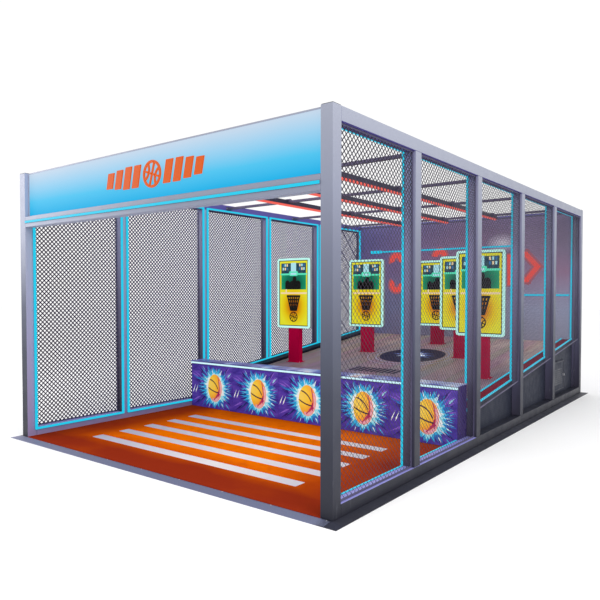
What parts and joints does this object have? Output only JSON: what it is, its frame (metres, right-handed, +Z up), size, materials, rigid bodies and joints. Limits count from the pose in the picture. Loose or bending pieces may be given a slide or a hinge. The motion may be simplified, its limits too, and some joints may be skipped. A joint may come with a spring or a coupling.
{
  "type": "basketball throwing cage",
  "caption": "Walk-in arcade cage with mesh sides, lit header, player mat, ball barrier, sloped ball-return deck and upright target displays on columns.",
  "frame": {"origin": "centre of the footprint at floor level", "axes": "+X to the right seen from the open front, +Y from the front to the back wall, +Z up; the entrance faces -Y"},
  "size_m": [4.114, 6.764, 2.745],
  "materials": {
    "base_slate": "satin powder coat",
    "ramp_aluminium": "brushed",
    "mat_rubber": "fine grain, printed stripes",
    "frame_steel": "satin powder coat",
    "sign_acrylic": "backlit gradient film behind acrylic",
    "mesh_steel": "galvanised diamond mesh",
    "beam_steel": "satin",
    "light_bar_housing": "dark anodised",
    "barrier_print": "printed gloss panel",
    "deck_laminate": "satin wood-grain laminate",
    "ledge_vinyl": "satin vinyl",
    "kick_sheet": "fine-lined satin",
    "back_wall_board": "satin, fine horizontal lines",
    "display_housing": "luminous edge",
    "column_steel": "satin",
    "hinge_steel": "plated",
    "cabinet_steel": "textured powder coat"
  },
  "bodies": {
    "cage": {"back_wall_panel": "back_wall_board", "ball_barrier": "barrier_print", "base_platform": "base_slate", "control_cabinet": "cabinet_steel", "corner_post_front_left": "frame_steel", "corner_post_front_right": "frame_steel", "corner_post_rear_left": "frame_steel", "corner_post_rear_right": "frame_steel", "cross_beam_1": "beam_steel", "cross_beam_2": "beam_steel", "cross_beam_3": "beam_steel", "cross_beam_4": "beam_steel", "display_column_1": "column_steel", "display_column_2": "column_steel", "display_column_3": "column_steel", "display_column_4": "column_steel", "display_column_5": "column_steel", "door_hinge_pin": "hinge_steel", "entry_ramp": "ramp_aluminium", "header_beam": "frame_steel", "kick_panel_left": "kick_sheet", "kick_panel_right": "kick_sheet", "light_bar_centre": "light_bar_housing", "light_bar_left": "light_bar_housing", "light_bar_right": "light_bar_housing", "mesh_panel_left_1": "mesh_steel", "mesh_panel_left_2": "mesh_steel", "mesh_panel_left_3": "mesh_steel", "mesh_panel_left_4": "mesh_steel", "mesh_panel_left_5": "mesh_steel", "mesh_panel_right_1": "mesh_steel", "mesh_panel_right_2": "mesh_steel", "mesh_panel_right_3": "mesh_steel", "mesh_panel_right_4": "mesh_steel", "mesh_panel_right_5": "mesh_steel", "player_mat": "mat_rubber", "rear_top_rail": "frame_steel", "return_deck": "deck_laminate", "side_bottom_rail_left": "frame_steel", "side_bottom_rail_right": "frame_steel", "side_ledge_left": "ledge_vinyl", "side_ledge_right": "ledge_vinyl", "side_post_left_1": "frame_steel", "side_post_left_2": "frame_steel", "side_post_left_3": "frame_steel", "side_post_left_4": "frame_steel", "side_post_right_1": "frame_steel", "side_post_right_2": "frame_steel", "side_post_right_3": "frame_steel", "side_post_right_4": "frame_steel", "side_top_rail_left": "frame_steel", "side_top_rail_right": "frame_steel", "sign_light_box": "sign_acrylic", "target_display_1": "display_housing", "target_display_2": "display_housing", "target_display_3": "display_housing", "target_display_4": "display_housing", "target_display_5": "display_housing"},
    "door": {"service_door": "kick_sheet"},
    "latch": {"door_latch": "hinge_steel"}
  },
  "joints": [
    {"name": "door_swing", "type": "hinge", "parent": "cage", "child": "door", "pos_m": [1.8797, 2.045, 0.355], "axis": [0, 0, -1], "range_deg": [0, 110]},
    {"name": "latch_turn", "type": "hinge", "parent": "door", "child": "latch", "pos_m": [1.8781, 2.61, 0.355], "axis": [-1, 0, 0], "range_deg": [0, 90]}
  ]
}
